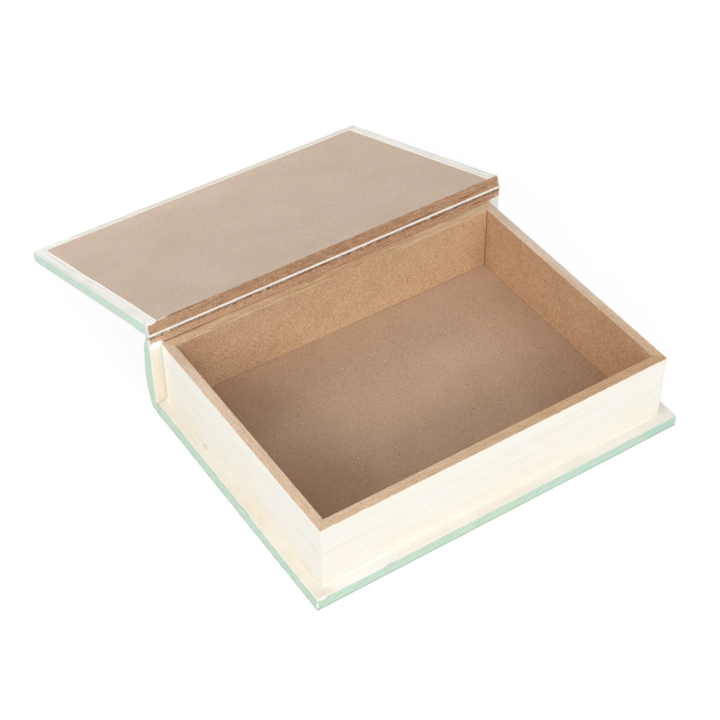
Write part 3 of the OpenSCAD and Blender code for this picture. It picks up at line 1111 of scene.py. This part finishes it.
def makeTopCover():
    ease, cell, margin = lidSet["ease"], lidSet["cell"], lidSet["margin"]
    panelLines = lidSet["panelLines"]
    corner, cornerStep = lidSet["cornerLines"]
    byHinge, hingeStep = lidSet["hingeLines"]
    fineX = [(at, *panelLines) for at in (lidLow[0] + margin, lidHigh[0] - margin)]
    fineX += [(lidLow[0] + corner, corner, cornerStep)]
    fineY = [(lidLow[1] + margin, *panelLines), (lidHigh[1] - byHinge, byHinge, hingeStep)]
    xs = easedLines(lidLow[0], lidHigh[0], cell, ease, *fineX)
    ys = easedLines(lidLow[1], lidHigh[1], cell, ease, *fineY)
    zs = easedLines(lidLow[2], lidHigh[2], lidSet["cellUp"], ease)
    ruledAt, faces = blockSkin(xs, ys, zs)
    x, y, z = ruledAt.T
    hingeHigh = lidHigh + [0, ease * 2, 0]
    reachIn = insideOf(ruledAt, lidLow, hingeHigh)
    inside = z < lidLow[2] + tiny
    outside = z > lidHigh[2] - tiny
    hingeFace = y > lidHigh[1] - tiny
    byHeight = ([lidLow[2], lidHigh[2]], [1, lidSet["sharper"]])
    atHinge = np.where(y > lidHigh[1] - 3, lidSet["hingeEase"], 1.0)
    sizes = sandedEase(ruledAt, ease, byHeight, 13) * atHinge
    points, out = roundOff(ruledAt, lidLow, hingeHigh, sizes)

    # the bare panel, the ridge of paint round it and the blobs in the left corner
    wander = lidSet["marginWander"] * (noiseAt(ruledAt, 16, 15) + 0.4 * noiseAt(ruledAt, 4, 16))
    wander = wander * np.where(x < 0, np.interp(y, *lidSet["rougher"]), 1)
    wider = np.interp(y, *lidSet["widerLeft"]) * (x < 0)
    fromEdges = np.minimum.reduce([x - lidLow[0], lidHigh[0] - x, y - lidLow[1]])
    panelIn = fromEdges - margin - wider - wander
    ridge = lidSet["ridge"] * bump(panelIn + 0.5, lidSet["ridgeWidth"])
    ridge = ridge * (0.8 + 0.4 * noiseAt(ruledAt, 5, 17))
    film = lidSet["film"] * np.clip(-panelIn / lidSet["filmEnd"], 0, 1)
    lift = np.where(inside, film + ridge, lidSet["uneven"] * noiseAt(ruledAt, (24, 3, 3), 18))
    points = points + out * lift[:, None]
    pastBlock = np.clip((blockLow[0] - 0.2 - x) / 0.6, 0, 1)
    lumpsIn, lumpsLong, lumpsDeep = lidSet["lumpsAt"]
    blobs = bump(x - lidLow[0] - lumpsIn, lumpsLong) * bump(y - lidHigh[1], lumpsDeep)
    blobs = blobs * (inside | hingeFace) * pastBlock
    lumps = lidSet["lumps"] * blobs * np.clip(0.4 + noiseAt(ruledAt, 1.9, 24), 0, 1)
    points = points + out * lumps[:, None]
    arris = hingeFace & (inside | outside)
    points[:, 1] -= np.where(arris, lidSet["worn"] + 0.15 * noiseAt(ruledAt, 4, 19), 0)

    # painted shadow lines along the hinge edge's inner arris and under the sides, at their arris
    # next to the outer face, and dark lines along the other arrises
    fading = np.interp(x, *lidSet["arrisFade"]) + lidSet["cornerFade"] * (x < lidLow[0] + margin)
    atArris = np.where(inside, lidHigh[1] - y, np.where(hingeFace, z - lidLow[2], farOff)) + fading
    onSide = ~(inside | outside | hingeFace)
    underSide = np.where(onSide, np.maximum(lidHigh[2] - 0.9 - z, 0) + 0.3, farOff)
    rightOrFore = (x > 0) | (y < lidLow[1] + 1)
    outerIn = np.minimum(lidHigh[0] - x, y - lidLow[1]) + 0.15
    outerArris = np.where(inside & rightOrFore, outerIn, farOff)

    across = np.where(outside, lidLow[2] - lidHigh[2] - reachIn, lidLow[2] - z)
    across = np.where(inside, np.maximum(reachIn, 0), across)
    atLeft, atRight = lidSet["bareEnds"]
    toEnd = np.where(x < 0, x - lidLow[0] - atLeft, lidHigh[0] - x - atRight)
    drip = np.interp(x - lidLow[0], list(lidSet["drip"]), list(lidSet["drip"].values()))
    above = z - lidLow[2] + lidSet["bareRise"] - drip
    sawn = np.where(hingeFace, roundedIn(toEnd, above, lidSet["bareCorner"]), -3.0)
    fadedAt, fadedReach = lidSet["fadedAt"]
    faded = np.interp(x, *lidSet["faded"]) * bump(y - lidLow[1] - fadedAt, fadedReach)
    onFore = y < lidLow[1] + margin
    fields = {
        "stroke": np.stack([x + y, across, np.zeros(len(x))], 1),
        "cream": np.where(hingeFace, 2.0, across + 0.1 + 0.25 * noiseAt(ruledAt, 9, 20)),
        "bare": np.where(inside, panelIn, -3.0),
        "mottleShare": lidSet["mottled"] - faded,
        "sawn": sawn,
        "warm": np.where(onFore, np.interp(x - lidLow[0], *lidSet["warmFore"]), 0.1),
        "red": np.interp(x, [lidLow[0], 0, lidHigh[0]], lidSet["red"]),
        "seam": np.minimum.reduce([atArris, underSide, outerArris]),
    }
    coats = [
        {"finish": "brushedPaint", "look": lidSet["outside"]},
        {
            "finish": "brushedPaint",
            "look": lidSet["marginPaint"],
            "driven": {"Patches": "warm"},
            "field": "cream",
            "edge": {"Wobble": 0.15, "Lump": 4.0, "Softness": 0.15},
            "lineShare": 0.3,
            "lineTint": tint(150, 168, 150),
        },
        {
            "finish": "fibreboard",
            "look": lidSet["panel"],
            "driven": {"Mottle Share": "mottleShare"},
            "field": "bare",
            "edge": {"Wobble": 0.12, "Lump": 2.0, "Lip Width": 0.3, "Line Width": 0.9},
            "lineShare": 0.75,
            "lineTint": tint(254, 249, 238),
            "lipShare": 0.3,
            "lipTint": tint(150, 128, 110),
        },
        {
            "finish": "fibreboard",
            "look": lidSet["edgeLook"],
            "driven": {"Mottle Share": "red"},
            "field": "sawn",
            "edge": {"Wobble": 0.25, "Lump": 2.5, "Softness": 0.2},
        },
    ]
    seam = {"line": {"Width": 0.4, "Broken": 0.7}, "share": 0.6, "tint": tint(118, 84, 62)}
    marks = []
    for mark in lidSet["marks"]:
        laidBack = turnLid(np.array([mark["at"]]), -swing)[0]
        marks.append({**mark, "at": tuple(laidBack)})
    material = boardMaterial("topCoverPaint", coats, seam, marks)
    piece = makePiece("topCover", turnLid(points, -swing), faces, fields, material)
    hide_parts("top_cover")
    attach(piece, "lid")


makeTopCover()


# Hinge cloth: one strip over the lid's outer face, the fold, the crest and the round back
clothSet = {
    "thick": 0.34,
    "reach": 14.0,  # glued length over the cover, and down the spine
    "endGap": 0.1,  # how far it stays in from the spine's ends
    "lift": 0.02,  # glue under the cloth
    "bend": 0.2,  # radius of its bends
    "cell": 1.0,
    "slack": (0.07, 0.9),  # how uneven it is at the fold, and how far that reaches
    "wavy": 0.3,  # how far its glued ends wander
    "paintedPast": 0.05,  # the outside is painted over from this far either side of the fold
    "paintedEnds": (0.8, 1.3),  # so close to its ends it is painted on both sides, from further off
    "turnsAbove": (0.055, 0.14),  # above the fold line
    "turnLean": 0.9,  # degrees by which a plane leans off the open lid, clear of the crest
    # frayed places along X, with how many threads each has
    "tufts": {
        -96.5: 4, -89.8: 7, -74.0: 3, -68.0: 5, -52.0: 4, -38.0: 3, -28.0: 4,
        4.0: 4, 13.2: 5, 18.5: 7, 39.4: 6, 56.0: 3, 68.0: 4,
    },
    "tuftThick": (0.09, 0.15),  # radius of a thread in a tuft, and of one that stands alone
    "looseThick": (0.07, 0.12),
    "loose": 26,
    "root": (-0.1, 0.65),  # where a thread starts: in Y from the fold line, in Z from the crest
    "spread": 0.7,  # of a tuft along X
    "length": (0.7, 1.7),
    "lean": 1.1,  # how far a thread leans to either side, and how far it curls, for its length
    "curl": 0.5,
    "seed": 7,
    "weave": 2.4,  # threads to the mm
    "bare": (tint(255, 252, 245), tint(255, 248, 236)),
    "betweenThreads": tint(206, 186, 160),
    "glued": tint(206, 176, 148),
    "gap": tint(72, 46, 34),  # painted shade in the gaps under the fold, dark with glue
    "relief": {"strength": 0.2, "depth": 0.0001, "shine": 0.2},
}


def arcPoints(centre, radius, start, end, step):
    count = max(2, round(abs(end - start) * radius / step) + 1)
    angles = np.linspace(start, end, count)
    return [centre + radius * np.array([math.cos(t), math.sin(t)]) for t in angles]


def clothLine():
    # the middle of the cloth in Y and Z, from its end on the cover to its end down the back
    off = clothSet["thick"] / 2 + clothSet["lift"]
    face = lidHigh[2] + off
    onLid = np.array([[0, lidHigh[1] - clothSet["reach"], face], [0, lidHigh[1] - 0.1, face]])
    onLid = turnLid(onLid, -swing)[:, 1:]
    crestStart = np.array([coverHigh[1] + 0.12, crestHeight + off])
    spineAt = np.array([coverHigh[1], 0.0])
    roll = arcPoints(spineAt + rollAt, spineSet["roll"] + off, math.pi / 2, rollStart, 0.3)
    sweep = clothSet["reach"] / (backRadius + off)
    back = arcPoints(spineAt + backAt, backRadius + off, rollStart, rollStart - sweep, 1.0)
    corners = [onLid[0], onLid[1], foldLine[1:], crestStart, *roll, *back[1:]]
    line = [corners[0]]
    for before, at, after in zip(corners, corners[1:], corners[2:]):
        inward, onward = before - at, after - at
        cut = min(clothSet["bend"], np.linalg.norm(inward) / 2.2, np.linalg.norm(onward) / 2.2)
        start = at + inward / np.linalg.norm(inward) * cut
        end = at + onward / np.linalg.norm(onward) * cut
        for t in (0.0, 0.33, 0.67, 1.0):
            line.append((1 - t) ** 2 * start + 2 * t * (1 - t) * at + t ** 2 * end)
    line.append(corners[-1])
    line = np.array(line)
    steps = np.linalg.norm(np.diff(line, axis=0), axis=1)
    line = line[np.concatenate([[True], steps > 0.03])]
    travel = np.concatenate([[0], np.cumsum(np.linalg.norm(np.diff(line, axis=0), axis=1))])
    stops = []
    for start, end in zip(travel, travel[1:]):
        stops += list(np.linspace(start, end, max(1, round(end - start)), endpoint=False))
    stops = np.array(stops + [travel[-1]])
    middle = [np.interp(stops, travel, line[:, axis]) for axis in (0, 1)]
    return np.stack(middle, 1), stops


def makeCloth():
    line, travel = clothLine()
    ahead = np.gradient(line, axis=0)
    ahead = ahead / np.linalg.norm(ahead, axis=1, keepdims=True)
    normal = np.stack([-ahead[:, 1], ahead[:, 0]], 1)  # points away from the boards
    toFold = np.linalg.norm(line - foldLine[1:], axis=1)
    foldStop = travel[np.argmin(toFold)]
    half = clothSet["thick"] / 2
    ring = np.concatenate([line + normal * half, (line - normal * half)[::-1]])
    ringTravel = np.concatenate([travel, travel[::-1]])
    endGap = clothSet["endGap"]
    xs = ruled(spineLow[0] + endGap, spineHigh[0] - endGap, clothSet["cell"])
    count = len(ring)
    x = np.repeat(xs, count)
    points = np.stack([x, np.tile(ring[:, 0], len(xs)), np.tile(ring[:, 1], len(xs))], 1)
    fromFold = np.tile(ringTravel, len(xs)) - foldStop
    mostSlack, slackReach = clothSet["slack"]
    slack = mostSlack * bump(np.abs(fromFold), slackReach)
    points[:, 1] += slack * noiseAt(points, (5, 5, 5), 21)
    points[:, 2] += slack * noiseAt(points, (7, 5, 5), 22)
    ends = np.tile((ringTravel < tiny) | (ringTravel > travel[-1] - tiny), len(xs))
    onward = np.tile(np.concatenate([ahead, ahead[::-1]]), (len(xs), 1))
    wavy = clothSet["wavy"] * noiseAt(points, (2, 9, 9), 23)
    points[:, 1:] += onward * np.where(ends, wavy, 0)[:, None]
    index = np.arange(len(xs) * count).reshape(len(xs), count)
    nextInRing = np.roll(index, -1, 1)
    sides = [index[:-1], index[1:], nextInRing[1:], nextInRing[:-1]]
    faces = np.stack([s.ravel() for s in sides], 1).tolist()
    rows = count // 2
    for end, flip in ((0, False), (len(xs) - 1, True)):
        for n in range(rows - 1):
            cap = [index[end, at] for at in (n, n + 1, count - 2 - n, count - 1 - n)]
            faces.append(cap[::-1] if flip else cap)
    outward = np.tile(np.concatenate([np.ones(rows), np.zeros(rows)]), len(xs))
    closeBy, furtherOff = clothSet["paintedEnds"]
    atEnd = furtherOff * (np.abs(x) > spineHigh[0] - closeBy)
    covered = (outward > 0.5) | (atEnd > 0)
    fields = {
        "stroke": np.stack([x, fromFold, 1 - outward], 1),
        "painted": np.where(covered, np.abs(fromFold) - clothSet["paintedPast"] - atEnd, -3.0),
    }
    piece = makePiece("hingeCloth", points, faces, fields, clothMaterial())
    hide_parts("hinge_cloth_lid_leaf", "hinge_cloth_spine_leaf")
    return piece, travel[-1]


def clothMaterial():
    material, tree = newMaterial("hingeClothWeave")
    place = brighten(tree, put(tree, "TexCoord").outputs["Object"], 1 / mm)
    stroke = fieldOf(tree, "stroke", "Vector")
    parts = put(tree, "SeparateXYZ", {0: stroke}).outputs
    turn = 2 * math.pi * clothSet["weave"]
    weft = calc(tree, "SINE", calc(tree, "MULTIPLY", parts[0], turn))
    warp = calc(tree, "SINE", calc(tree, "MULTIPLY", parts[1], turn))
    weave = stretch(tree, calc(tree, "MULTIPLY", weft, warp), -1.0, 1.0)
    uneven = noiseOf(tree, stroke, 0.6, 3.0)
    colour = mixColour(tree, stretch(tree, uneven, 0.35, 0.7), *clothSet["bare"])
    colour = mixColour(tree, calc(tree, "MULTIPLY", weave, 0.05), colour, clothSet["betweenThreads"])
    glued = stretch(tree, parts[1], -0.05, 0.15)  # below the fold, where glue and shadow show
    glued = calc(tree, "MULTIPLY", glued, parts[2])
    wires = {"Distance": 0.0, "Place": place, "Dash": 1.2, "Broken": 1.0}
    broken = useGroup(tree, "seamLine", wires)["Mask"]
    colour = mixColour(tree, glued, colour, clothSet["glued"])
    # painted shade of the gaps under the fold, broken with glue
    colour = mixColour(tree, calc(tree, "MULTIPLY", glued, broken), colour, clothSet["gap"])
    onSpine = stretch(tree, parts[1], -0.4, 0.4)
    wires = {"Place": place, "Stroke": stroke, **mint}
    for coat in ("Coat", "Thin"):
        wires[coat] = mixColour(tree, onSpine, lidSet["outside"][coat], mint[coat])
    paint = useGroup(tree, "brushedPaint", wires)
    wires = {"Distance": fieldOf(tree, "painted"), "Place": stroke, "Wobble": 0.3}
    edge = useGroup(tree, "unevenBorder", wires)
    colour = mixColour(tree, edge["Mask"], colour, paint["Color"])
    rough = mixValue(tree, edge["Mask"], 0.85, paint["Roughness"])
    height = calc(tree, "ADD", weave, calc(tree, "MULTIPLY", uneven, 0.6))
    finishMaterial(tree, colour, rough, height, clothSet["relief"])
    return material


def makeThreads():
    # frayed ends that hang from the fold over the spine's bare strip
    lot = random.Random(clothSet["seed"])
    points, faces, travel = [], [], []
    rings, sides = 5, 4
    ends = (spineLow[0] + 1, spineHigh[0] - 1)
    roots = [(lot.uniform(*ends), clothSet["looseThick"]) for _ in range(clothSet["loose"])]
    for middle, count in clothSet["tufts"].items():
        tuft = [lot.gauss(middle, clothSet["spread"]) for _ in range(count)]
        roots += [(root, clothSet["tuftThick"]) for root in tuft]
    rootY, rootZ = clothSet["root"]
    for root, thickness in roots:
        at = Vector((root, foldLine[1] + rootY, crestHeight + rootZ))
        length = lot.uniform(*clothSet["length"])
        lean = lot.uniform(-clothSet["lean"], clothSet["lean"])
        curl = lot.uniform(-clothSet["curl"], clothSet["curl"])
        thick = lot.uniform(*thickness)
        for ring in range(rings):
            t = ring / (rings - 1)
            aside = length * (lean * t + curl * t * t)
            middle = at + Vector((aside, -0.05 * math.sin(2.4 * t), -length * 0.7 * t))
            reach = thick * (1 - 0.5 * t)
            for side in range(sides):
                angle = 2 * math.pi * side / sides
                points.append(middle + Vector((math.cos(angle) * reach, math.sin(angle) * reach, 0)))
                travel.append((middle.x, -1 - t * length, 0))
        first = len(points) - rings * sides
        for ring in range(rings - 1):
            for side in range(sides):
                a = first + ring * sides + side
                b = first + ring * sides + (side + 1) % sides
                faces.append([a, a + sides, b + sides, b])
        faces.append([first + side for side in range(sides)])
        faces.append([len(points) - 1 - side for side in range(sides)])
    points = np.array(points)
    fields = {"stroke": np.array(travel), "painted": np.full(len(points), -3.0)}
    piece = makePiece("hingeThreads", points, faces, fields, bpy.data.materials["hingeClothWeave"])
    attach(piece, "box")
    return piece


hingeCloth, clothLength = makeCloth()
hingeThreads = makeThreads()
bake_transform(hingeCloth)


# Floor, lamps and world
stageSet = {
    "size": 6.0,
    "drop": 0.0002,  # the floor lies this far under the part, so that the two don't flicker
    "tint": tint(252, 252, 252),
    "white": 0.85,  # share of plain white that the camera sees in the floor under the part
    "whiter": (0.4, 1.4),  # how far off, in metres, that share starts to grow and reaches 1
    "glow": 1.05,
    "room": 0.04,  # strength of the room's own light
}


def seenDirectly(tree):  # 1 for what the camera, a reflection or glass sees
    ray = put(tree, "LightPath").outputs
    seen = calc(tree, "MAXIMUM", ray["Is Camera Ray"], ray["Is Glossy Ray"])
    return calc(tree, "MAXIMUM", seen, ray["Is Transmission Ray"])


def makeStage():
    half = stageSet["size"] / 2
    corners = [(-half, -half), (half, -half), (half, half), (-half, half)]
    mesh = bpy.data.meshes.new("floor")
    mesh.from_pydata([(x, y, -stageSet["drop"]) for x, y in corners], [], [(0, 1, 2, 3)])
    floor = bpy.data.objects.new("floor", mesh)
    scene.collection.objects.link(floor)
    material, tree = newMaterial("paleFloor")
    plain = put(tree, "BsdfDiffuse", {"Color": stageSet["tint"]})
    white = put(tree, "Emission", {"Color": (1, 1, 1, 1), "Strength": stageSet["glow"]})
    place = put(tree, "TexCoord").outputs["Object"]
    away = put(tree, "VectorMath", {0: place}, operation="LENGTH").outputs["Value"]
    share = stretch(tree, away, *stageSet["whiter"], stageSet["white"], 1.0)
    share = calc(tree, "MULTIPLY", share, seenDirectly(tree))
    both = put(tree, "MixShader", {0: share, 1: plain.outputs[0], 2: white.outputs[0]})
    output = tree.nodes.new("ShaderNodeOutputMaterial")
    wire(tree, output.inputs["Surface"], both.outputs[0])
    mesh.materials.append(material)

    world = bpy.data.worlds.new("studio")
    scene.world = world
    world.use_nodes = True
    tree = world.node_tree
    tree.nodes.clear()
    light = put(tree, "Background", {"Color": (1, 1, 1, 1), "Strength": stageSet["room"]})
    white = put(tree, "Background", {"Color": (1, 1, 1, 1), "Strength": 1.0})
    both = put(tree, "MixShader", {0: seenDirectly(tree), 1: light.outputs[0], 2: white.outputs[0]})
    output = tree.nodes.new("ShaderNodeOutputWorld")
    wire(tree, output.inputs["Surface"], both.outputs[0])


lampSet = {  # turn from the front towards the right and rise above the floor, in degrees
    "frontLow": {"turn": -5, "rise": 25, "power": 19.3},
    "frontLeft": {"turn": -40, "rise": 35, "power": 12.4},
    "frontRight": {"turn": 50, "rise": 35, "power": 7.1},
    "left": {"turn": -90, "rise": 30, "power": 17.6},
    "backRight": {"turn": 140, "rise": 35, "power": 6.3},
    "backLow": {"turn": 180, "rise": 20, "power": 30.4},
}
lampAway = 2.2
lampSize = 1.2


def makeLamp(name, values):
    lamp = bpy.data.lights.new(name, "AREA")
    lamp.shape = "DISK"
    lamp.size = lampSize
    lamp.energy = values["power"]
    made = bpy.data.objects.new(name, lamp)
    turn, rise = math.radians(values["turn"]), math.radians(values["rise"])
    level = lampAway * math.cos(rise)
    at = Vector((level * math.sin(turn), -level * math.cos(turn), lampAway * math.sin(rise)))
    made.location = at
    made.rotation_euler = (-at).to_track_quat("-Z", "Y").to_euler()
    scene.collection.objects.link(made)


# Camera, where the photograph was taken from
cameraSet = {
    "at": (-0.34025, -0.47783, 0.60148),
    "aim": (-0.02648, 0.00671, 0.04761),
    "roll": -0.52,  # degrees
    "lens": 88.34,
    "sensor": 36.0,
}


def makeCamera():
    data = bpy.data.cameras.new("camera")
    data.lens = cameraSet["lens"]
    data.sensor_width = cameraSet["sensor"]
    data.clip_start = 0.01
    camera = bpy.data.objects.new("camera", data)
    at, aim = Vector(cameraSet["at"]), Vector(cameraSet["aim"])
    camera.location = at
    camera.rotation_mode = "QUATERNION"
    roll = Quaternion((0, 0, 1), math.radians(cameraSet["roll"]))
    camera.rotation_quaternion = (aim - at).to_track_quat("-Z", "Y") @ roll
    scene.collection.objects.link(camera)
    scene.camera = camera


makeStage()
for name, values in lampSet.items():
    makeLamp(name, values)
makeCamera()
scene.view_settings.view_transform = "Standard"
print("stage, lamps and camera set")
